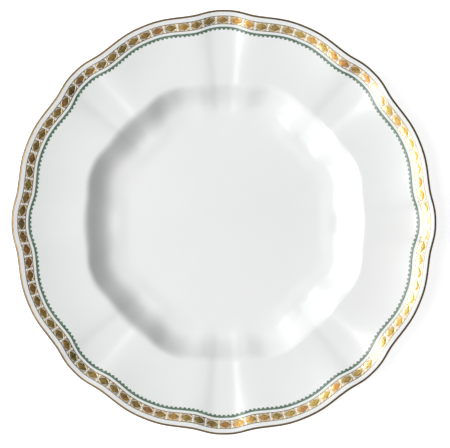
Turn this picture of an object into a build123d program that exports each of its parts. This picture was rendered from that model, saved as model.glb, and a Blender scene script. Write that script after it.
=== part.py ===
"""China dinner plate: a fluted, scalloped porcelain plate with clear glaze, enamel and gilding.

The plate is one fired body under a thin clear glaze. Eight narrow flutes run from the well to the
lip, with eight wide panels between them. The border, from the lip inwards, is a gilt edge, a gilt
band of lozenges in a trellis between two thin lines, and a green enamel line with small dentils.

Row frame: +Z up, origin at the centre of the foot ring, on the surface that the plate stands on.
A flute points along +X. Lengths are millimetres and angles degrees.

Every surface comes from one nominal section, drawn in (rho, z) through the middle of a wide panel.
rho is the nominal radius, and bend() carries a section point round the plate: it pulls the point
inwards at the creases and flutes, and sinks it in the flutes.
"""

from build123d import *
import math
import os

# The whole plate
PLATE_RADIUS = 135.0
FLUTES = 8
FLUTE_HALF_ANGLE = 9.0  # from a flute's centre to the crease beside it
SECTOR = 360.0 / FLUTES
PANEL_HALF_ANGLE = SECTOR / 2 - FLUTE_HALF_ANGLE

# The nominal section: flat well, wall that steepens to a shoulder, rim that turns up gently
WELL_Z = 6.4
WELL_FLAT_RADIUS = 56.0
WELL_EDGE_RADIUS = 60.0
WELL_EDGE_WIDTH = 14.0
WELL_EDGE_SLOPE = 0.1  # rise over run
WALL_START_RADIUS = 73.5
WALL_STEEPENS_OVER = 16.0
WALL_SLOPE = 1.2
SHOULDER_RADIUS = 87.5
SHOULDER_WIDTH = 6.0
RIM_START_RADIUS = 86.0
RIM_START_WIDTH = 8.0
RIM_SLOPE_AT_SHOULDER = 0.07
RIM_TURN_RADIUS = 92.0
RIM_TURN_WIDTH = 40.0
RIM_SLOPE_AT_LIP = 0.23
FLOOR_THICKNESS = 4.0
LIP_THICKNESS = 2.6

# The scallops and flutes
LIP_CREASE = 2.0  # how far the creases stand inside the lobes, at the lip
BORDER_CREASE = 2.6  # and over the border
FLUTE_PINCH = 4.2  # how far the flutes stand inside the panels, low on the wall
CHANNEL_DEPTH = 0.6
CHANNEL_DEPTH_AT_LIP = 0.3
CHANNEL_HALF_ANGLE = 5.0
CHANNEL_WALL_POWER = 6

# The foot ring
FOOT_RADIUS = 70.0
FOOT_WIDTH = 2.2
FOOT_TOP_WIDTH = 5.0
FOOT_HEIGHT = 2.4
BARE_FOOT_HEIGHT = 0.7  # wiped clear of glaze, so that it doesn't stick to the kiln shelf

# The coats
GLAZE_THICKNESS = 0.25
COAT_THICKNESS = 0.10
SEAT_GAP = 0.02  # between one coat and the next, so that no two solids share volume

# The border, by nominal radius
EDGE_GILDING_TURNS = [12, 30, 50, 70, 90, 110, 130]  # degrees round the lip from its top
OUTER_LINE_RADIUS = 131.05
INNER_LINE_RADIUS = 126.25
GILT_LINE_WIDTH = 0.48
LOZENGES_PER_SECTOR = 12
LOZENGE_HALF_HEIGHT = 2.12
LOZENGE_FILL = 0.47  # half-width over pitch
LOZENGE_SWELL = 0.06  # how far the sides swell, over the lozenge's size
FRAME_SPAN = (0.077, 0.117)  # from a lozenge's side to each side of its frame, over pitch
FRAME_START = 0.48  # from the middle of the band
ARM_START = 0.62
ARM_SPAN_AT_START = (0.46, 0.492)  # from the lozenge's centre, over pitch
ARM_SPAN_AT_LINE = (0.17, 0.38)
BORDER_PHASE = 0.4  # degrees from a flute's centre to the first lozenge's
ENAMEL_OUTER_RADIUS = 124.5
ENAMEL_INNER_RADIUS = 123.3
DENTIL_LENGTH = 0.75
DENTILS_PER_SECTOR = 34
DENTIL_FILL = 0.7

BAND_RADIUS = (OUTER_LINE_RADIUS + INNER_LINE_RADIUS) / 2
BAND_HALF_HEIGHT = (OUTER_LINE_RADIUS - INNER_LINE_RADIUS - GILT_LINE_WIDTH) / 2
PITCH = SECTOR / LOZENGES_PER_SECTOR
LOZENGE_HALF_WIDTH = LOZENGE_FILL * PITCH

POINTS_PER_SECTOR = 20
RING_ANGLES = [SECTOR * i / POINTS_PER_SECTOR for i in range(FLUTES * POINTS_PER_SECTOR)]
WELL_STATIONS = [60, 64, 68, 72, 75, 78, 81, 84, 86.5, 88.5, 90.5, 92.5, 94.5]
RIM_STATIONS = [98, 103, 109, 115, 121, 126, 130.5]
BACK_STATIONS = [130.5, 121, 112, 105, 98, 93, 89, 85, 80, 75]
LIP_ARC_STEP = 30


def ease(x):
    """0 below 0, 1 above 1 and a smooth step between."""
    x = min(1.0, max(0.0, x))
    return x * x * (3 - 2 * x)


def from_flute(deg):
    """Degrees from the centre of the nearest flute."""
    return abs((deg + SECTOR / 2) % SECTOR - SECTOR / 2)


def crease(deg):
    """1 on the creases, 0 down the middle of each flute and panel."""
    away = from_flute(deg)
    if away < FLUTE_HALF_ANGLE:
        share = away / FLUTE_HALF_ANGLE
    else:
        share = (SECTOR / 2 - away) / PANEL_HALF_ANGLE
    return math.sin(math.pi / 2 * share) ** 3


def flute(deg):
    """1 all across a flute, falling to 0 down the middle of a panel."""
    return 1.0 if from_flute(deg) < FLUTE_HALF_ANGLE else crease(deg)


def channel(deg):
    """1 in the flat of a flute's channel, 0 outside it."""
    return 1 / (1 + (from_flute(deg) / CHANNEL_HALF_ANGLE) ** CHANNEL_WALL_POWER)


def bend(rho, z, deg):
    """The place in space of the section point (rho, z) at the angle deg."""
    crease_depth = BORDER_CREASE * ease((rho - 88) / 32)
    crease_depth -= (BORDER_CREASE - LIP_CREASE) * ease((rho - 124) / 11)
    pinch = FLUTE_PINCH * ease((rho - WELL_FLAT_RADIUS) / 16) * (1 - ease((rho - 70) / 50))
    sunk = CHANNEL_DEPTH * ease((rho - 71) / 10)
    sunk -= (CHANNEL_DEPTH - CHANNEL_DEPTH_AT_LIP) * ease((rho - 118) / 17)
    radius = rho - crease_depth * crease(deg) - pinch * flute(deg)
    angle = math.radians(deg)
    return Vector(radius * math.cos(angle), radius * math.sin(angle), z - sunk * channel(deg))


def eased_run(rho, start, width):
    """The integral of ease() over rho, as it goes from 0 at start to 1 at start + width."""
    x = min(1.0, max(0.0, (rho - start) / width))
    return width * (x**3 - x**4 / 2) + max(0.0, rho - start - width)


SLOPE_CHANGES = [
    (WELL_EDGE_SLOPE, WELL_EDGE_RADIUS, WELL_EDGE_WIDTH),
    (WALL_SLOPE - WELL_EDGE_SLOPE, WALL_START_RADIUS, WALL_STEEPENS_OVER),
    (-WALL_SLOPE, SHOULDER_RADIUS, SHOULDER_WIDTH),
    (RIM_SLOPE_AT_SHOULDER, RIM_START_RADIUS, RIM_START_WIDTH),
    (RIM_SLOPE_AT_LIP - RIM_SLOPE_AT_SHOULDER, RIM_TURN_RADIUS, RIM_TURN_WIDTH),
]


def face_z(rho):
    """Height of the glazed face in the nominal section."""
    return WELL_Z + sum(change * eased_run(rho, *span) for change, *span in SLOPE_CHANGES)


def face_tilt(rho):
    """Slope angle of the face in the nominal section, in radians."""
    slope = sum(change * ease((rho - start) / width) for change, start, width in SLOPE_CHANGES)
    return math.atan(slope)


def on_face(rho, depth):
    """Section point at this depth under the glazed face, square to it."""
    tilt = face_tilt(rho)
    return rho + depth * math.sin(tilt), face_z(rho) - depth * math.cos(tilt)


def thickness(rho):
    """Glazed thickness, tapering from the foot ring to the lip."""
    share = (rho - FOOT_RADIUS) / (PLATE_RADIUS - FOOT_RADIUS)
    return FLOOR_THICKNESS + (LIP_THICKNESS - FLOOR_THICKNESS) * min(1.0, max(0.0, share))


LIP_RADIUS = LIP_THICKNESS / 2
LIP_TILT = face_tilt(PLATE_RADIUS - LIP_RADIUS)
LIP_START = PLATE_RADIUS - LIP_RADIUS * (1 + math.sin(LIP_TILT))
LIP_CENTRE = on_face(LIP_START, LIP_RADIUS)


def on_lip(turn, depth):
    """Section point on the rounded lip: turn 0 is its top, 180 its underside."""
    angle = math.pi / 2 + LIP_TILT - math.radians(turn)
    reach = LIP_RADIUS - depth
    return LIP_CENTRE[0] + reach * math.cos(angle), LIP_CENTRE[1] + reach * math.sin(angle)


def face_section(depth):
    """Section points from the well to the outermost point of the lip."""
    points = [on_face(rho, depth) for rho in WELL_STATIONS + RIM_STATIONS]
    return points + [on_lip(turn, depth) for turn in range(0, 91, LIP_ARC_STEP)]


def back_section(depth):
    """Section points from the outermost point of the lip to the top of the foot ring."""
    points = [on_lip(turn, depth) for turn in range(90, 181, LIP_ARC_STEP)]
    return points + [on_face(rho, thickness(rho) - depth) for rho in BACK_STATIONS]


def ring(point):
    """The closed curve that a section point makes round the plate."""
    around = [bend(*point, deg) for deg in RING_ANGLES]
    parameters = [i / len(around) for i in range(len(around) + 1)]
    return Edge.make_spline(around, periodic=True, parameters=parameters)


def level_circle(radius, z):
    return Edge.make_circle(radius, Plane.XY.offset(z))


def smooth_skin(curves):
    """One smooth sheet through closed curves."""
    return Shell.make_loft([Wire([curve]) for curve in curves]).faces()


def strip(one, other):
    """The straight strip between two closed curves."""
    return [Face.make_surface_from_curves(one, other)]


def disc(curve):
    return [Face(Wire([curve]))]


def flat_ring(outer, inner):
    """The flat face between two level circles at one height."""
    return [Face(Wire([outer]), [Wire([inner])])]


def closed(faces):
    """The solid that these faces enclose."""
    return Solid(Shell(faces))


def foot_section():
    """Section points down the outside of the foot ring, under it and up its inside."""
    outer, inner = FOOT_RADIUS + FOOT_WIDTH / 2, FOOT_RADIUS - FOOT_WIDTH / 2
    flare = (FOOT_TOP_WIDTH - FOOT_WIDTH) / 2
    return [
        (outer + flare / 2, BARE_FOOT_HEIGHT),
        (outer, 0.0),
        (inner, 0.0),
        (inner - flare / 2, BARE_FOOT_HEIGHT),
        (inner - flare, FOOT_HEIGHT),
    ]


def porcelain_body():
    """The fired body, with its well, rim and foot ring, under the glaze."""
    skin_depth = GLAZE_THICKNESS + SEAT_GAP
    face = [level_circle(WELL_FLAT_RADIUS, WELL_Z - skin_depth)]
    face += [ring(point) for point in face_section(skin_depth)]
    back = [ring(point) for point in back_section(skin_depth)]
    foot = [level_circle(rho, z) for rho, z in foot_section()]
    faces = disc(face[0]) + smooth_skin(face) + smooth_skin([face[-1]] + back[1:])
    outside, outer_edge, inner_edge, inside, recess = foot
    faces += strip(back[-1], outside) + strip(outside, outer_edge)
    faces += flat_ring(outer_edge, inner_edge)
    faces += strip(inner_edge, inside) + strip(inside, recess)
    return closed(faces + disc(recess))


def face_glaze():
    """Clear glaze over the face, from the centre to the outermost point of the lip."""
    top = [level_circle(WELL_FLAT_RADIUS, WELL_Z)]
    top += [ring(point) for point in face_section(0)]
    under = [level_circle(WELL_FLAT_RADIUS, WELL_Z - GLAZE_THICKNESS)]
    under += [ring(point) for point in face_section(GLAZE_THICKNESS)]
    faces = disc(top[0]) + smooth_skin(top) + strip(top[-1], under[-1])
    return closed(faces + smooth_skin(under) + disc(under[0]))


def back_glaze():
    """Clear glaze over the underside, from the lip down to the bare edge of the foot ring."""
    lip_gap = math.degrees(SEAT_GAP / LIP_RADIUS)
    outer_section = [on_lip(90 + lip_gap, 0)] + back_section(0)[1:]
    inner_section = [on_lip(90 + lip_gap, GLAZE_THICKNESS)] + back_section(GLAZE_THICKNESS)[1:]
    outer = [ring(point) for point in outer_section]
    inner = [ring(point) for point in inner_section]
    rho, z = foot_section()[0]
    foot_outer = level_circle(rho + SEAT_GAP + GLAZE_THICKNESS, z)
    foot_inner = level_circle(rho + SEAT_GAP, z)
    faces = smooth_skin(outer) + smooth_skin(inner) + strip(outer[0], inner[0])
    faces += strip(outer[-1], foot_outer) + strip(inner[-1], foot_inner)
    return closed(faces + flat_ring(foot_outer, foot_inner))


def recess_glaze():
    """Clear glaze over the round recess inside the foot ring."""
    radius = foot_section()[-1][0] - SEAT_GAP
    top = FOOT_HEIGHT - SEAT_GAP
    return Pos(0, 0, top - GLAZE_THICKNESS / 2) * Cylinder(radius, GLAZE_THICKNESS)


def lifted(rho, lift, deg):
    """A point at this height above the glazed face."""
    return bend(*on_face(rho, -lift), deg)


def edge_gilding():
    """Burnished gold round the lip."""
    base, skin = -SEAT_GAP, -SEAT_GAP - COAT_THICKNESS
    under = [ring(on_lip(turn, base)) for turn in EDGE_GILDING_TURNS]
    over = [ring(on_lip(turn, skin)) for turn in EDGE_GILDING_TURNS]
    faces = smooth_skin(under) + smooth_skin(over)
    return closed(faces + strip(under[0], over[0]) + strip(under[-1], over[-1]))


def border_line(inner, outer):
    """A thin raised line round the rim between two nominal radii."""
    low = [ring(on_face(rho, -SEAT_GAP)) for rho in (inner, outer)]
    high = [ring(on_face(rho, -SEAT_GAP - COAT_THICKNESS)) for rho in (inner, outer)]
    return closed(strip(*low) + strip(*high) + strip(low[0], high[0]) + strip(low[1], high[1]))


def gilt_line(rho):
    return border_line(rho - GILT_LINE_WIDTH / 2, rho + GILT_LINE_WIDTH / 2)


def swell(u, v, amount):
    """Move a place on the unit square so that the middles of the sides swell outwards."""
    along_u = amount * (2 * u - 1) * 4 * v * (1 - v)
    along_v = amount * (2 * v - 1) * 4 * u * (1 - u)
    return u + along_u, v + along_v


def sheet(corners, lift, steps, swelling):
    """A four-sided sheet that follows the rim at this height above it."""
    grid = []
    for i in range(steps + 1):
        row = []
        for j in range(steps + 1):
            u, v = swell(i / steps, j / steps, swelling)
            weights = [(1 - u) * (1 - v), (1 - u) * v, u * v, u * (1 - v)]
            rho, deg = (sum(w * c[k] for w, c in zip(weights, corners)) for k in (0, 1))
            row.append(lifted(rho, lift, deg))
        grid.append(row)
    if steps > 1:
        return Face.make_surface_from_array_of_points(grid, tol=0.002)
    ends = [Edge.make_line(row[0], row[1]) for row in grid]
    return Face.make_surface_from_curves(*ends)


def tile(corners, steps=1, swelling=0.0):
    """A thin four-sided solid that lies on the rim. corners are (rho, deg), in order."""
    low = sheet(corners, SEAT_GAP, steps, swelling)
    high = sheet(corners, SEAT_GAP + COAT_THICKNESS, steps, swelling)
    sides = []
    for edge in low.edges():
        middle = edge @ 0.5
        above = min(high.edges(), key=lambda other: (other @ 0.5 - middle).length)
        sides.append(Face.make_surface_from_curves(edge, above))
    return closed([low, high] + sides)


def motif_centres(per_sector, phase=0.0):
    return [phase + SECTOR / per_sector * i for i in range(FLUTES * per_sector)]


def lozenge(deg):
    corners = [
        (BAND_RADIUS - LOZENGE_HALF_HEIGHT, deg),
        (BAND_RADIUS, deg + LOZENGE_HALF_WIDTH),
        (BAND_RADIUS + LOZENGE_HALF_HEIGHT, deg),
        (BAND_RADIUS, deg - LOZENGE_HALF_WIDTH),
    ]
    return tile(corners, steps=3, swelling=LOZENGE_SWELL)


def band_tile(deg, side, way, near, far, start):
    """A thin bar from start out to a gilt line, on one side of the lozenge at deg.

    near and far are its spans at start and at the line, from the lozenge's centre, over pitch.
    side is -1 or 1 round the plate, and way is -1 inwards or 1 outwards.
    """
    end = BAND_HALF_HEIGHT - SEAT_GAP
    corners = [(start, near[0]), (start, near[1]), (end, far[1]), (end, far[0])]
    return tile([(BAND_RADIUS + way * out, deg + side * across * PITCH) for out, across in corners])


def frame_bar(deg, side, way):
    """A bar of the thin frame that runs parallel to a lozenge's sides."""

    def span(out):
        return [LOZENGE_FILL * (1 - out / LOZENGE_HALF_HEIGHT) + away for away in FRAME_SPAN]

    far = span(BAND_HALF_HEIGHT - SEAT_GAP)
    return band_tile(deg, side, way, span(FRAME_START), far, FRAME_START)


def trellis_arm(deg, side, way):
    """An arm of the cross between two lozenges."""
    return band_tile(deg, side, way, ARM_SPAN_AT_START, ARM_SPAN_AT_LINE, ARM_START)


def dentil(deg):
    """A small tapered tooth on the inside of the green line."""
    half = SECTOR / DENTILS_PER_SECTOR * DENTIL_FILL / 2
    root = ENAMEL_INNER_RADIUS - SEAT_GAP
    tip = ENAMEL_INNER_RADIUS - DENTIL_LENGTH
    spread = [(root, -half), (root, half), (tip, half / 2), (tip, -half / 2)]
    return tile([(rho, deg + away) for rho, away in spread])


def save(name, *solids):
    shape = solids[0] if len(solids) == 1 else Compound(children=list(solids))
    export_step(shape, f"parts/{name}.step")


os.makedirs("parts", exist_ok=True)
lozenge_centres = motif_centres(LOZENGES_PER_SECTOR, BORDER_PHASE)
four_ways = [(side, way) for side in (-1, 1) for way in (-1, 1)]

save("porcelain_body", porcelain_body())
save("face_glaze", face_glaze())
save("back_glaze", back_glaze())
save("recess_glaze", recess_glaze())
save("edge_gilding", edge_gilding())
save("outer_gilt_line", gilt_line(OUTER_LINE_RADIUS))
save("inner_gilt_line", gilt_line(INNER_LINE_RADIUS))
save("gilt_lozenges", *[lozenge(deg) for deg in lozenge_centres])
save("green_enamel_line", border_line(ENAMEL_INNER_RADIUS, ENAMEL_OUTER_RADIUS))
save("green_enamel_dentils", *[dentil(deg) for deg in motif_centres(DENTILS_PER_SECTOR)])
save("gilt_trellis", *[trellis_arm(deg, *way) for deg in lozenge_centres for way in four_ways])
save("gilt_frames", *[frame_bar(deg, *way) for deg in lozenge_centres for way in four_ways])
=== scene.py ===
"""The looks of the china dinner plate: glazed white porcelain, gilding and green enamel.

The plate's face, back and border are drawn again here as fine meshes, from the same nominal
section as the CAD parts. A section point (rho, z) lies in the plane through the middle of a wide
panel, and bend() carries it round the plate. Sizes in the driving values are millimetres and
degrees, and every mesh is made in metres.
"""

import math

import bmesh
import bpy
import numpy as np
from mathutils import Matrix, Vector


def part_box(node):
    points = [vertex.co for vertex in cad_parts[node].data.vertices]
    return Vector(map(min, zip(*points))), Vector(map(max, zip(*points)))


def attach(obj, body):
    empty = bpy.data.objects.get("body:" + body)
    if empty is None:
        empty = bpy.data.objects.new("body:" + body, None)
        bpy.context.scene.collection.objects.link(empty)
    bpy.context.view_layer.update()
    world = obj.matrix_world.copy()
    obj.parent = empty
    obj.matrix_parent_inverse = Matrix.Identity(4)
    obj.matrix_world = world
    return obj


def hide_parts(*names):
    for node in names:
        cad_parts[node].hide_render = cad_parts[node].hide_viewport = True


MM = 0.001

# The whole plate
PLATE_RADIUS = 135.0
FLUTES = 8
SECTOR = 360.0 / FLUTES
FLUTE_HALF_ANGLE = 9.0
PANEL_HALF_ANGLE = SECTOR / 2 - FLUTE_HALF_ANGLE

# The nominal section: flat well, wall that steepens to a shoulder, rim that turns up gently
WELL_Z = 6.4
WELL_FLAT_RADIUS = 56.0
WELL_EDGE_RADIUS = 60.0
WELL_EDGE_WIDTH = 14.0
WELL_EDGE_SLOPE = 0.1
WALL_START_RADIUS = 73.5
WALL_STEEPENS_OVER = 16.0
WALL_SLOPE = 1.2
SHOULDER_RADIUS = 87.5
SHOULDER_WIDTH = 6.0
RIM_START_RADIUS = 86.0
RIM_START_WIDTH = 8.0
RIM_SLOPE_AT_SHOULDER = 0.07
RIM_TURN_RADIUS = 92.0
RIM_TURN_WIDTH = 40.0
RIM_SLOPE_AT_LIP = 0.23
FLOOR_THICKNESS = 4.0
LIP_THICKNESS = 2.6

# The scallops and flutes. A run is where a change starts, and how far it takes to be complete
LIP_CREASE = 2.0
BORDER_CREASE = 2.6
FLUTE_PINCH = 4.2
CHANNEL_DEPTH = 0.6
CHANNEL_DEPTH_AT_LIP = 0.3
CHANNEL_HALF_ANGLE = 5.0
CHANNEL_WALL_POWER = 6
BORDER_CREASE_RUN = (88.0, 32.0)
LIP_CREASE_RUN = (124.0, 11.0)
PINCH_RUN = (WELL_FLAT_RADIUS, 16.0)
PINCH_FADE_RUN = (70.0, 50.0)
CHANNEL_RUN = (71.0, 10.0)
CHANNEL_LIP_RUN = (118.0, 17.0)

# The foot ring
FOOT_RADIUS = 70.0
FOOT_WIDTH = 2.2
FOOT_TOP_WIDTH = 5.0
FOOT_HEIGHT = 2.4
BARE_FOOT_HEIGHT = 0.7

# The coats
GLAZE_THICKNESS = 0.25
COAT_THICKNESS = 0.10
COAT_EDGE_SHARE = 0.6  # a coat's height at its edge, over its height in the middle
COAT_SINK = 0.01  # a coat's underside lies this far in the glaze, so that no light shows under it
SEAT_GAP = 0.02  # between the glaze and the foot ring
POOL_DEPTH = 0.25  # the glaze pools in the corner of the recess
POOL_WIDTH = 1.2

# The border, by nominal radius
EDGE_GILDING_START = 12.0  # degrees round the lip from its top
EDGE_GILDING_END = 131.0
OUTER_LINE_RADIUS = 131.05
INNER_LINE_RADIUS = 126.25
GILT_LINE_WIDTH = 0.48
BAND_RADIUS = (OUTER_LINE_RADIUS + INNER_LINE_RADIUS) / 2
BAND_HALF_HEIGHT = (OUTER_LINE_RADIUS - INNER_LINE_RADIUS - GILT_LINE_WIDTH) / 2
LOZENGES_PER_SECTOR = 12
PITCH = SECTOR / LOZENGES_PER_SECTOR
LOZENGE_HALF_HEIGHT = 2.12
LOZENGE_FILL = 0.47  # half-width over pitch
LOZENGE_SWELL = 0.06  # how far the sides swell, over the lozenge's size
FRAME_SPAN = (0.077, 0.117)  # from a lozenge's side to each side of its frame, over pitch
FRAME_START = 0.48  # from the middle of the band
ARM_START = 0.62
ARM_SPAN_AT_START = (0.46, 0.492)  # from the lozenge's centre, over pitch
ARM_SPAN_AT_LINE = (0.17, 0.38)
BORDER_PHASE = 0.4
TRELLIS_HEIGHT = 0.08
FRAME_HEIGHT = 0.07
GILT_WAVER = 0.04  # how far the hand-drawn lines stray
ENAMEL_WAVER = 0.05
ENAMEL_OUTER_RADIUS = 124.5
ENAMEL_INNER_RADIUS = 123.3
DENTIL_LENGTH = 0.75
DENTILS_PER_SECTOR = 34
DENTIL_FILL = 0.7
DENTIL_TAPER = 0.55

# Mesh fineness
SHARP_CORNER = math.radians(40)
STEPS_AROUND = 960
INNERMOST_RING = 0.4  # the radius of the small cap in the middle
WELL_RINGS = 12
RECESS_RINGS = 60
RING_STEP = 0.8
BORDER_START = 122.0
BORDER_RING_STEP = 0.4
LIP_TURN_STEP = 10.0
GILDING_TURN_STEP = 8.0
LINE_STRANDS = 5
LOZENGE_STEPS = 8
PAD_STEPS = 4
RING_ANGLES = np.arange(STEPS_AROUND) * 360.0 / STEPS_AROUND


# ---- the plate's form ----


def ease(x):
    """0 below 0, 1 above 1 and a smooth step between."""
    x = np.clip(x, 0.0, 1.0)
    return x * x * (3 - 2 * x)


def step(rho, start, width):
    """0 up to start, 1 from start + width on, and a smooth step between."""
    return ease((rho - start) / width)


def from_flute(deg):
    """Degrees from the centre of the nearest flute."""
    return np.abs((deg + SECTOR / 2) % SECTOR - SECTOR / 2)


def crease(deg):
    """1 on the creases, 0 down the middle of each flute and panel."""
    away = from_flute(deg)
    in_flute = away / FLUTE_HALF_ANGLE
    in_panel = (SECTOR / 2 - away) / PANEL_HALF_ANGLE
    share = np.where(away < FLUTE_HALF_ANGLE, in_flute, in_panel)
    return np.sin(np.pi / 2 * share) ** 3


def flute(deg):
    """1 all across a flute, falling to 0 down the middle of a panel."""
    return np.where(from_flute(deg) < FLUTE_HALF_ANGLE, 1.0, crease(deg))


def channel(deg):
    """1 in the flat of a flute's channel, 0 outside it."""
    return 1 / (1 + (from_flute(deg) / CHANNEL_HALF_ANGLE) ** CHANNEL_WALL_POWER)


def bend(rho, z, deg, share=1.0):
    """Places in space, in metres, of the section points (rho, z) at the angles deg.

    share is how much of the creases and flutes they take: 1 for all, and 0 for a true circle.
    """
    rho, z, deg = np.broadcast_arrays(*(np.asarray(v, float) for v in (rho, z, deg)))
    crease_depth = BORDER_CREASE * step(rho, *BORDER_CREASE_RUN)
    crease_depth = crease_depth - (BORDER_CREASE - LIP_CREASE) * step(rho, *LIP_CREASE_RUN)
    pinch = FLUTE_PINCH * step(rho, *PINCH_RUN) * (1 - step(rho, *PINCH_FADE_RUN))
    sunk = CHANNEL_DEPTH * step(rho, *CHANNEL_RUN)
    sunk = sunk - (CHANNEL_DEPTH - CHANNEL_DEPTH_AT_LIP) * step(rho, *CHANNEL_LIP_RUN)
    radius = rho - share * (crease_depth * crease(deg) + pinch * flute(deg))
    angle = np.radians(deg)
    place = [radius * np.cos(angle), radius * np.sin(angle), z - share * sunk * channel(deg)]
    return np.stack(place, axis=-1) * MM


def eased_run(rho, start, width):
    """The integral of ease() over rho, as it goes from 0 at start to 1 at start + width."""
    x = np.clip((rho - start) / width, 0.0, 1.0)
    return width * (x**3 - x**4 / 2) + np.maximum(0.0, rho - start - width)


SLOPE_CHANGES = [
    (WELL_EDGE_SLOPE, WELL_EDGE_RADIUS, WELL_EDGE_WIDTH),
    (WALL_SLOPE - WELL_EDGE_SLOPE, WALL_START_RADIUS, WALL_STEEPENS_OVER),
    (-WALL_SLOPE, SHOULDER_RADIUS, SHOULDER_WIDTH),
    (RIM_SLOPE_AT_SHOULDER, RIM_START_RADIUS, RIM_START_WIDTH),
    (RIM_SLOPE_AT_LIP - RIM_SLOPE_AT_SHOULDER, RIM_TURN_RADIUS, RIM_TURN_WIDTH),
]


def face_z(rho):
    """Height of the glazed face in the nominal section."""
    return WELL_Z + sum(change * eased_run(rho, *run) for change, *run in SLOPE_CHANGES)


def face_tilt(rho):
    """Slope angle of the face in the nominal section, in radians."""
    return np.arctan(sum(change * step(rho, *run) for change, *run in SLOPE_CHANGES))


def on_face(rho, depth):
    """Section points at this depth under the glazed face, square to it."""
    tilt = face_tilt(rho)
    return np.stack([rho + depth * np.sin(tilt), face_z(rho) - depth * np.cos(tilt)], axis=-1)


def thickness(rho):
    """Glazed thickness, tapering from the foot ring to the lip."""
    share = np.clip((rho - FOOT_RADIUS) / (PLATE_RADIUS - FOOT_RADIUS), 0, 1)
    return FLOOR_THICKNESS + (LIP_THICKNESS - FLOOR_THICKNESS) * share


LIP_RADIUS = LIP_THICKNESS / 2
LIP_TILT = float(face_tilt(PLATE_RADIUS - LIP_RADIUS))
LIP_START = PLATE_RADIUS - LIP_RADIUS * (1 + math.sin(LIP_TILT))
LIP_CENTRE = on_face(LIP_START, LIP_RADIUS)


def on_lip(turn, depth):
    """Section points on the rounded lip: turn 0 is its top, 180 its underside."""
    angle = np.pi / 2 + LIP_TILT - np.radians(turn)
    reach = LIP_RADIUS - depth
    return LIP_CENTRE + reach * np.stack([np.cos(angle), np.sin(angle)], axis=-1)


# ---- mesh making ----


def face_outwards(mesh):
    """Turn every face of a mesh of closed shells outwards."""
    shells = bmesh.new()
    shells.from_mesh(mesh)
    bmesh.ops.recalc_face_normals(shells, faces=shells.faces)
    shells.to_mesh(mesh)
    shells.free()


def new_piece(name, points, faces, material, node):
    """A mesh object that rides on the plate and stands for a CAD node.

    It is smooth-shaded, with its corners kept sharp.
    """
    mesh = bpy.data.meshes.new(name)
    mesh.from_pydata(points.tolist(), [], faces)
    face_outwards(mesh)
    mesh.shade_smooth()
    mesh.set_sharp_from_angle(angle=SHARP_CORNER)
    mesh.materials.append(material)
    piece = bpy.data.objects.new(name, mesh)
    bpy.context.scene.collection.objects.link(piece)
    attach(piece, "root")
    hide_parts(node)
    return piece


def woven(rows, capped=False):
    """Faces of a grid of points whose rows run round the plate.

    The rows close on themselves, or the first and last are each capped with one face.
    """
    index = np.arange(rows * STEPS_AROUND).reshape(rows, STEPS_AROUND)
    below = index[:-1] if capped else index
    above = index[1:] if capped else np.roll(index, -1, axis=0)
    quads = [below, np.roll(below, -1, axis=1), np.roll(above, -1, axis=1), above]
    faces = np.stack(quads, axis=-1).reshape(-1, 4).tolist()
    if capped:
        faces += [index[0, ::-1].tolist(), index[-1].tolist()]
    return faces


def turned(section, capped=False, share=1.0):
    """Points and faces of a section carried round the plate. section is rows of (rho, z).

    capped is as in woven(). share is as in bend(), for all the rows or one by one.
    """
    share = np.reshape(share, (-1, 1))
    points = bend(section[:, :1], section[:, 1:], RING_ANGLES[None, :], share).reshape(-1, 3)
    return points, woven(len(section), capped)


def crowned(inside):
    """Height of a coat over its full height. inside goes from 0 at its edge to 1 well inside."""
    return COAT_EDGE_SHARE + (1 - COAT_EDGE_SHARE) * ease(inside)


def swell(u, v, amount):
    """Move places on the unit square so that the middles of its sides swell outwards."""
    along_u = amount * (2 * u - 1) * 4 * v * (1 - v)
    along_v = amount * (2 * v - 1) * 4 * u * (1 - u)
    return u + along_u, v + along_v


def pad_faces(steps):
    """Faces of one pad: a square grid on top, the same grid below it, and the sides between."""
    index = np.arange((steps + 1) ** 2).reshape(steps + 1, steps + 1)
    quads = [index[:-1, :-1], index[1:, :-1], index[1:, 1:], index[:-1, 1:]]
    cap = np.stack(quads, axis=-1).reshape(-1, 4)
    base = (cap + index.size)[:, ::-1]
    rim = np.concatenate([index[0, :-1], index[:-1, -1], index[-1, :0:-1], index[:0:-1, 0]])
    rim_under = rim + index.size
    side = [rim, np.roll(rim, -1), np.roll(rim_under, -1), rim_under]
    return np.concatenate([cap, base, np.stack(side, axis=-1)])


def tiles(corner_sets, steps=PAD_STEPS, height=COAT_THICKNESS, swelling=0.0):
    """Points and faces of many thin four-sided pads that follow the rim, with soft edges.

    corner_sets holds four (rho, deg) corners a pad, in order, and swelling bows a pad's sides out.
    """
    share = np.linspace(0, 1, steps + 1)
    u, v = np.meshgrid(share, share, indexing="ij")
    inside = np.minimum(np.minimum(u, 1 - u), np.minimum(v, 1 - v))
    u, v = swell(u, v, swelling)
    weights = np.stack([(1 - u) * (1 - v), (1 - u) * v, u * v, u * (1 - v)], axis=-1)
    place = np.einsum("ijk,nkc->nijc", weights, np.asarray(corner_sets, float))
    rho, deg = place[..., 0], place[..., 1]
    tops = on_face(rho, -np.broadcast_to(height * crowned(inside * 4), rho.shape))
    feet = on_face(rho, np.full(rho.shape, COAT_SINK))
    points = [bend(s[..., 0], s[..., 1], deg).reshape(len(rho), -1, 3) for s in (tops, feet)]
    points = np.concatenate(points, axis=1)
    shift = np.arange(len(rho))[:, None, None] * points.shape[1]
    return points.reshape(-1, 3), (pad_faces(steps)[None] + shift).reshape(-1, 4).tolist()


def wobble(deg, amount, *waves):
    """A small hand-made unevenness round the plate. waves are whole numbers of waves in a turn."""
    stagger = 1.7
    total = sum(np.sin(np.radians(deg * n) + n * stagger) for n in waves)
    return amount * total / len(waves)


# ---- materials ----


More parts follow.
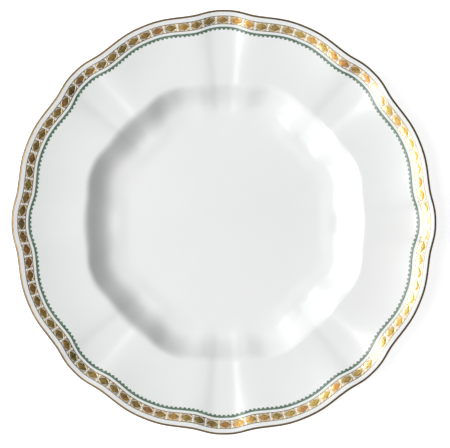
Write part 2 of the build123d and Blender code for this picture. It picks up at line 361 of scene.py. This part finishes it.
def new_material(name):
    """A new material, with its nodes, its links and its shader."""
    material = bpy.data.materials.new(name)
    material.use_nodes = True
    nodes = material.node_tree.nodes
    return material, nodes, material.node_tree.links, nodes["Principled BSDF"]


def noise(nodes, links, scale, detail):
    """Noise over the object's own metres. scale is in cells a metre."""
    where = nodes.get("Texture Coordinate") or nodes.new("ShaderNodeTexCoord")
    texture = nodes.new("ShaderNodeTexNoise")
    texture.inputs["Scale"].default_value = scale
    texture.inputs["Detail"].default_value = detail
    links.new(where.outputs["Object"], texture.inputs["Vector"])
    return texture.outputs["Fac"]


def ramp(nodes, links, source, *stops):
    """Colours along a value. stops are (position, (r, g, b))."""
    node = nodes.new("ShaderNodeValToRGB")
    elements = node.color_ramp.elements
    while len(elements) < len(stops):
        elements.new(0.5)
    for element, (position, colour) in zip(elements, stops):
        element.position = position
        element.color = (*colour, 1.0)
    links.new(source, node.inputs["Fac"])
    return node.outputs["Color"]


def spread(nodes, links, source, across, onto):
    """A value mapped from one range onto another. Each range is its (low, high)."""
    node = nodes.new("ShaderNodeMapRange")
    names = ("From Min", "From Max", "To Min", "To Max")
    for name, value in zip(names, (*across, *onto)):
        node.inputs[name].default_value = value
    links.new(source, node.inputs["Value"])
    return node.outputs["Result"]


def bump(nodes, links, shader, height, distance, below=None):
    """Surface relief from a height value, over any relief below it. distance is in metres."""
    node = nodes.new("ShaderNodeBump")
    node.inputs["Distance"].default_value = distance
    links.new(height, node.inputs["Height"])
    if below is not None:
        links.new(below, node.inputs["Normal"])
    links.new(node.outputs["Normal"], shader.inputs["Normal"])
    return node.outputs["Normal"]


def glaze_material():
    """Clear glaze on white porcelain, with a faintly uneven tint and gloss and a soft ripple."""
    material, nodes, links, shader = new_material("porcelain_glaze")
    tint = noise(nodes, links, scale=14, detail=4)
    colour = ramp(
        nodes, links, tint,
        (0.30, (0.845, 0.862, 0.838)), (0.55, (0.868, 0.876, 0.862)), (0.75, (0.872, 0.868, 0.846)),
    )
    links.new(colour, shader.inputs["Base Color"])
    rub = noise(nodes, links, scale=220, detail=6)
    roughness = spread(nodes, links, rub, across=(0.35, 0.75), onto=(0.20, 0.24))
    links.new(roughness, shader.inputs["Roughness"])
    shader.inputs["IOR"].default_value = 1.45
    shader.inputs["Subsurface Weight"].default_value = 0.12
    shader.inputs["Subsurface Radius"].default_value = (1.0, 0.9, 0.75)
    shader.inputs["Subsurface Scale"].default_value = 0.0015
    ripple = bump(nodes, links, shader, noise(nodes, links, scale=45, detail=1), distance=0.00012)
    bump(nodes, links, shader, noise(nodes, links, scale=900, detail=2), distance=0.000004, below=ripple)
    return material


def biscuit_material():
    """Bare fired porcelain at the foot: matte, creamier and finely gritty."""
    material, nodes, links, shader = new_material("porcelain_biscuit")
    grain = noise(nodes, links, scale=1400, detail=5)
    tint = noise(nodes, links, scale=60, detail=5)
    colour = ramp(nodes, links, tint, (0.35, (0.66, 0.62, 0.54)), (0.7, (0.78, 0.76, 0.70)))
    links.new(colour, shader.inputs["Base Color"])
    roughness = spread(nodes, links, grain, across=(0.3, 0.7), onto=(0.65, 0.9))
    links.new(roughness, shader.inputs["Roughness"])
    bump(nodes, links, shader, grain, distance=0.00003)
    return material


def gold_material(name, stops, smoothest, roughest, coat=1.0, by_piece=False):
    """Fired gold, with duller patches where it has been rubbed.

    Its tint drifts over the surface, or differs from one separate motif to the next.
    """
    material, nodes, links, shader = new_material(name)
    if by_piece:
        drift = nodes.new("ShaderNodeNewGeometry").outputs["Random Per Island"]
    else:
        drift = noise(nodes, links, scale=55, detail=4)
    links.new(ramp(nodes, links, drift, *stops), shader.inputs["Base Color"])
    worn = noise(nodes, links, scale=500, detail=5)
    roughness = spread(nodes, links, worn, across=(0.35, 0.7), onto=(smoothest, roughest))
    links.new(roughness, shader.inputs["Roughness"])
    shader.inputs["Metallic"].default_value = 1.0
    shader.inputs["Coat Weight"].default_value = coat
    shader.inputs["Coat IOR"].default_value = 2.1
    shader.inputs["Coat Roughness"].default_value = 0.08
    bump(nodes, links, shader, noise(nodes, links, scale=1500, detail=3), distance=0.00001)
    return material


def enamel_material():
    """Green enamel, thinner and paler in places, with a soft gloss."""
    material, nodes, links, shader = new_material("green_enamel")
    drift = noise(nodes, links, scale=260, detail=5)
    colour = ramp(
        nodes, links, drift,
        (0.3, (0.080, 0.145, 0.095)), (0.55, (0.110, 0.185, 0.125)), (0.8, (0.170, 0.255, 0.185)),
    )
    links.new(colour, shader.inputs["Base Color"])
    roughness = spread(nodes, links, drift, across=(0.3, 0.7), onto=(0.18, 0.32))
    links.new(roughness, shader.inputs["Roughness"])
    shader.inputs["IOR"].default_value = 1.75
    bump(nodes, links, shader, noise(nodes, links, scale=1200, detail=3), distance=0.00001)
    return material


# ---- the pieces ----


def glazed_face(material):
    """The face from the centre to the outermost point of the lip, with its thin glazed skin."""
    flat = np.linspace(INNERMOST_RING, WELL_FLAT_RADIUS, WELL_RINGS)
    slope = np.arange(WELL_FLAT_RADIUS + 1, BORDER_START, RING_STEP)
    border = np.append(np.arange(BORDER_START, LIP_START, BORDER_RING_STEP), LIP_START)
    stations = np.concatenate([flat, slope, border])
    turns = np.arange(LIP_TURN_STEP, 90.1, LIP_TURN_STEP)  # to the lip's outermost point
    top = np.concatenate([on_face(stations, 0), on_lip(turns, 0)])
    under = np.concatenate([on_face(stations, GLAZE_THICKNESS), on_lip(turns, GLAZE_THICKNESS)])
    points, faces = turned(np.concatenate([top, under[::-1]]), capped=True)
    return new_piece("glazed_face", points, faces, material, "face_glaze")


def glazed_back(material):
    """The underside from the lip to the bare edge of the round foot ring."""
    turns = np.arange(91.0, 180.1, LIP_TURN_STEP)  # from just past the face's glaze
    stations = np.arange(LIP_START, FOOT_RADIUS + FOOT_TOP_WIDTH, -RING_STEP)
    foot = FOOT_RADIUS + FOOT_WIDTH / 2 + (FOOT_TOP_WIDTH - FOOT_WIDTH) / 4 + SEAT_GAP
    skins = []
    for depth in (0.0, GLAZE_THICKNESS):
        under = np.stack([on_face(rho, thickness(rho) - depth) for rho in stations])
        edge = [[foot + GLAZE_THICKNESS - depth, BARE_FOOT_HEIGHT]]
        skins.append(np.concatenate([on_lip(turns, depth), under, edge]))
    share = np.append(np.ones(len(skins[0]) - 1), 0.0)
    section = np.concatenate([skins[0], skins[1][::-1]])
    points, faces = turned(section, share=np.append(share, share[::-1]))
    return new_piece("glazed_back", points, faces, material, "back_glaze")


def glazed_recess(material):
    """The round floor of the recess inside the foot ring, with the glaze pooled at its edge."""
    radius = FOOT_RADIUS - FOOT_WIDTH / 2 - (FOOT_TOP_WIDTH - FOOT_WIDTH) / 2 - SEAT_GAP
    inwards = np.linspace(radius, INNERMOST_RING, RECESS_RINGS)
    pool = POOL_DEPTH * np.exp(-(radius - inwards) / POOL_WIDTH)
    low = np.stack([inwards, FOOT_HEIGHT - GLAZE_THICKNESS - SEAT_GAP - pool], axis=-1)
    high = np.stack([inwards, np.full(RECESS_RINGS, FOOT_HEIGHT - SEAT_GAP)], axis=-1)
    points, faces = turned(np.concatenate([low[::-1], high]), capped=True, share=0.0)
    return new_piece("glazed_recess", points, faces, material, "recess_glaze")


def edge_gilding(material):
    """Gold brushed round the lip."""
    turns = np.arange(EDGE_GILDING_START, EDGE_GILDING_END, GILDING_TURN_STEP)
    skins = [on_lip(turns, depth) for depth in (-COAT_THICKNESS, COAT_SINK)]
    points, faces = turned(np.concatenate([skins[0], skins[1][::-1]]))
    return new_piece("edge_gold", points, faces, material, "edge_gilding")


def band(name, inner, outer, waver, material, node):
    """A thin raised line round the rim, with slightly uneven sides."""
    across = np.linspace(0, 1, LINE_STRANDS)[:, None]
    inner_edge = inner + wobble(RING_ANGLES, waver, 23, 61, 137)
    outer_edge = outer + wobble(RING_ANGLES, waver, 31, 79, 113)
    rho = inner_edge + (outer_edge - inner_edge) * across
    crown = COAT_THICKNESS * crowned(2 * np.minimum(across, 1 - across))
    top = on_face(rho, -np.broadcast_to(crown, rho.shape))
    foot = on_face(rho[::-1], np.full(rho.shape, COAT_SINK))
    section = np.concatenate([top, foot])
    points = bend(section[..., 0], section[..., 1], RING_ANGLES[None, :]).reshape(-1, 3)
    return new_piece(name, points, woven(len(section)), material, node)


def gilt_line(name, radius, material, node):
    """One of the two thin gold lines that bound the band of lozenges."""
    half = GILT_LINE_WIDTH / 2
    return band(name, radius - half, radius + half, GILT_WAVER, material, node)


def around(per_sector, phase=0.0):
    """The angles of a motif that repeats so many times a sector."""
    return phase + SECTOR / per_sector * np.arange(FLUTES * per_sector)


def lozenges(material):
    """The plump lozenges along the middle of the band."""
    half_width = LOZENGE_FILL * PITCH
    outline = [
        (-LOZENGE_HALF_HEIGHT, 0),
        (0, half_width),
        (LOZENGE_HALF_HEIGHT, 0),
        (0, -half_width),
    ]
    centres = around(LOZENGES_PER_SECTOR, BORDER_PHASE)
    corner_sets = [[(BAND_RADIUS + out, deg + away) for out, away in outline] for deg in centres]
    points, faces = tiles(corner_sets, LOZENGE_STEPS, swelling=LOZENGE_SWELL)
    return new_piece("lozenges", points, faces, material, "gilt_lozenges")


def band_bars(near, far, start):
    """Corners of the bars from start out to the gilt lines, four to a lozenge.

    near and far are a bar's spans at start and at the line, from the lozenge's centre, over pitch.
    """
    end = BAND_HALF_HEIGHT
    outline = [(start, near[0]), (start, near[1]), (end, far[1]), (end, far[0])]
    return [
        [(BAND_RADIUS + way * out, deg + side * away * PITCH) for out, away in outline]
        for deg in around(LOZENGES_PER_SECTOR, BORDER_PHASE)
        for side in (-1, 1)
        for way in (-1, 1)
    ]


def frames(material):
    """The thin frames that run parallel to the lozenges' sides."""

    def span(out):
        """A frame's two sides this far out from the middle of the band, over pitch."""
        return [LOZENGE_FILL * (1 - out / LOZENGE_HALF_HEIGHT) + away for away in FRAME_SPAN]

    corner_sets = band_bars(span(FRAME_START), span(BAND_HALF_HEIGHT), FRAME_START)
    points, faces = tiles(corner_sets, height=FRAME_HEIGHT)
    return new_piece("frames", points, faces, material, "gilt_frames")


def trellis(material):
    """The arms of the crosses between the lozenges."""
    corner_sets = band_bars(ARM_SPAN_AT_START, ARM_SPAN_AT_LINE, ARM_START)
    points, faces = tiles(corner_sets, height=TRELLIS_HEIGHT)
    return new_piece("trellis", points, faces, material, "gilt_trellis")


def dentils(material):
    """The small tapered teeth on the inside of the green line."""
    half = SECTOR / DENTILS_PER_SECTOR * DENTIL_FILL / 2
    tip = -DENTIL_LENGTH
    half_tip = half * DENTIL_TAPER
    outline = [(0, -half), (0, half), (tip, half_tip), (tip, -half_tip)]
    centres = around(DENTILS_PER_SECTOR)
    corner_sets = [
        [(ENAMEL_INNER_RADIUS + out, deg + away) for out, away in outline] for deg in centres
    ]
    points, faces = tiles(corner_sets)
    return new_piece("dentils", points, faces, material, "green_enamel_dentils")


# ---- the studio ----

CAMERA_LENS = 120.0
SENSOR_WIDTH = 36.0
FRAME_WIDTH = 285.5 * MM  # how much of the scene the picture is across, at the lip
CAMERA_SHIFT = (0.7 * MM, -1.1 * MM)  # the plate lies a little left of and above the middle
WINDOW_LEAN = 38.0  # degrees west of straight above
WINDOW_DISTANCE = 1.6
WINDOW_SIZE = (0.9, 1.5)
WINDOW_POWER = 24.5
ROOM_DIM = 0.05
ROOM_BRIGHT = 0.75
ROOM_DIM_FROM = 0.60  # eastward, out of 1
ROOM_BRIGHT_FROM = -0.75
ROOM_COLOUR = (0.97, 0.985, 1.0, 1)
FLOOR_REACH = 6.0
FLOOR_GREY = (0.64, 0.64, 0.64, 1)
FLOOR_GLOW = 0.65


def floor():
    """A plain pale floor, level with the foot, that glows a little so that it stays white."""
    mesh = bpy.data.meshes.new("floor")
    quarter_turns = [(-1, -1), (1, -1), (1, 1), (-1, 1)]
    corners = [(FLOOR_REACH * x, FLOOR_REACH * y, 0) for x, y in quarter_turns]
    mesh.from_pydata(corners, [], [(0, 1, 2, 3)])
    material, _, _, shader = new_material("pale_floor")
    shader.inputs["Base Color"].default_value = FLOOR_GREY
    shader.inputs["Roughness"].default_value = 0.9
    shader.inputs["Specular IOR Level"].default_value = 0.1
    shader.inputs["Emission Color"].default_value = (1, 1, 1, 1)
    shader.inputs["Emission Strength"].default_value = FLOOR_GLOW
    mesh.materials.append(material)
    ground = bpy.data.objects.new("floor", mesh)
    bpy.context.scene.collection.objects.link(ground)


def west_window():
    """A tall soft light to the west of the plate and above it, aimed at its middle."""
    data = bpy.data.lights.new("west_window", "AREA")
    data.shape = "RECTANGLE"
    data.size, data.size_y = WINDOW_SIZE
    data.energy = WINDOW_POWER
    light = bpy.data.objects.new("west_window", data)
    lean = math.radians(WINDOW_LEAN)
    light.location = (-WINDOW_DISTANCE * math.sin(lean), 0, WINDOW_DISTANCE * math.cos(lean))
    light.rotation_euler = (-light.location).to_track_quat("-Z", "Y").to_euler()
    bpy.context.scene.collection.objects.link(light)


def surroundings():
    """A dim room, brighter towards the west where the window light comes in."""
    world = bpy.data.worlds.new("room")
    world.use_nodes = True
    bpy.context.scene.world = world
    nodes, links = world.node_tree.nodes, world.node_tree.links
    where = nodes.new("ShaderNodeTexCoord")
    split = nodes.new("ShaderNodeSeparateXYZ")
    links.new(where.outputs["Generated"], split.inputs["Vector"])
    glow = nodes.new("ShaderNodeMapRange")
    glow.interpolation_type = "SMOOTHSTEP"
    glow.inputs["From Min"].default_value = ROOM_DIM_FROM
    glow.inputs["From Max"].default_value = ROOM_BRIGHT_FROM
    glow.inputs["To Min"].default_value = ROOM_DIM
    glow.inputs["To Max"].default_value = ROOM_BRIGHT
    links.new(split.outputs["X"], glow.inputs["Value"])
    links.new(glow.outputs["Result"], nodes["Background"].inputs["Strength"])
    nodes["Background"].inputs["Color"].default_value = ROOM_COLOUR


def camera():
    """The camera, straight above the plate."""
    data = bpy.data.cameras.new("camera")
    data.lens = CAMERA_LENS
    data.sensor_width = SENSOR_WIDTH
    data.dof.use_dof = False
    distance = FRAME_WIDTH * CAMERA_LENS / SENSOR_WIDTH
    view_point = bpy.data.objects.new("camera", data)
    lip_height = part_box("edge_gilding")[1][2]
    view_point.location = (*CAMERA_SHIFT, lip_height + distance)
    bpy.context.scene.collection.objects.link(view_point)
    bpy.context.scene.camera = view_point


# ---- the scene ----

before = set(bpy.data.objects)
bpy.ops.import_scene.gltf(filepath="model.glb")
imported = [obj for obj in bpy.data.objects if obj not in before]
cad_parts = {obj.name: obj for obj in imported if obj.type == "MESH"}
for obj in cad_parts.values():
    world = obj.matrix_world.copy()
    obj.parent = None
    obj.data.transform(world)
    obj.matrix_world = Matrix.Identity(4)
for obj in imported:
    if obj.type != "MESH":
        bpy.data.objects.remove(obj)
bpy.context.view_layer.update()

glaze = glaze_material()
edge_gold = gold_material(
    "edge_gold", [(0.3, (0.15, 0.095, 0.04)), (0.7, (0.27, 0.18, 0.08))], 0.50, 0.65, coat=0.2
)
line_gold = gold_material(
    "line_gold", [(0.3, (0.30, 0.21, 0.08)), (0.7, (0.44, 0.32, 0.14))], 0.22, 0.45
)
trellis_gold = gold_material(
    "trellis_gold", [(0.3, (0.62, 0.43, 0.18)), (0.7, (0.78, 0.58, 0.28))], 0.25, 0.45
)
LOZENGE_TINTS = [
    (0.0, (0.54, 0.24, 0.05)),
    (0.35, (0.58, 0.32, 0.06)),
    (0.7, (0.52, 0.34, 0.07)),
    (1.0, (0.40, 0.27, 0.05)),
]
lozenge_gold = gold_material("lozenge_gold", LOZENGE_TINTS, 0.20, 0.42, by_piece=True)
enamel = enamel_material()

glazed_face(glaze)
glazed_back(glaze)
glazed_recess(glaze)
edge_gilding(edge_gold)
gilt_line("gold_outer", OUTER_LINE_RADIUS, line_gold, "outer_gilt_line")
gilt_line("gold_inner", INNER_LINE_RADIUS, line_gold, "inner_gilt_line")
lozenges(lozenge_gold)
frames(trellis_gold)
trellis(trellis_gold)
band(
    "enamel_line", ENAMEL_INNER_RADIUS, ENAMEL_OUTER_RADIUS, ENAMEL_WAVER,
    enamel, "green_enamel_line",
)
dentils(enamel)

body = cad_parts["porcelain_body"]
body.data.materials.clear()
body.data.materials.append(biscuit_material())

floor()
surroundings()
west_window()
camera()
bpy.context.scene.view_settings.view_transform = "Standard"
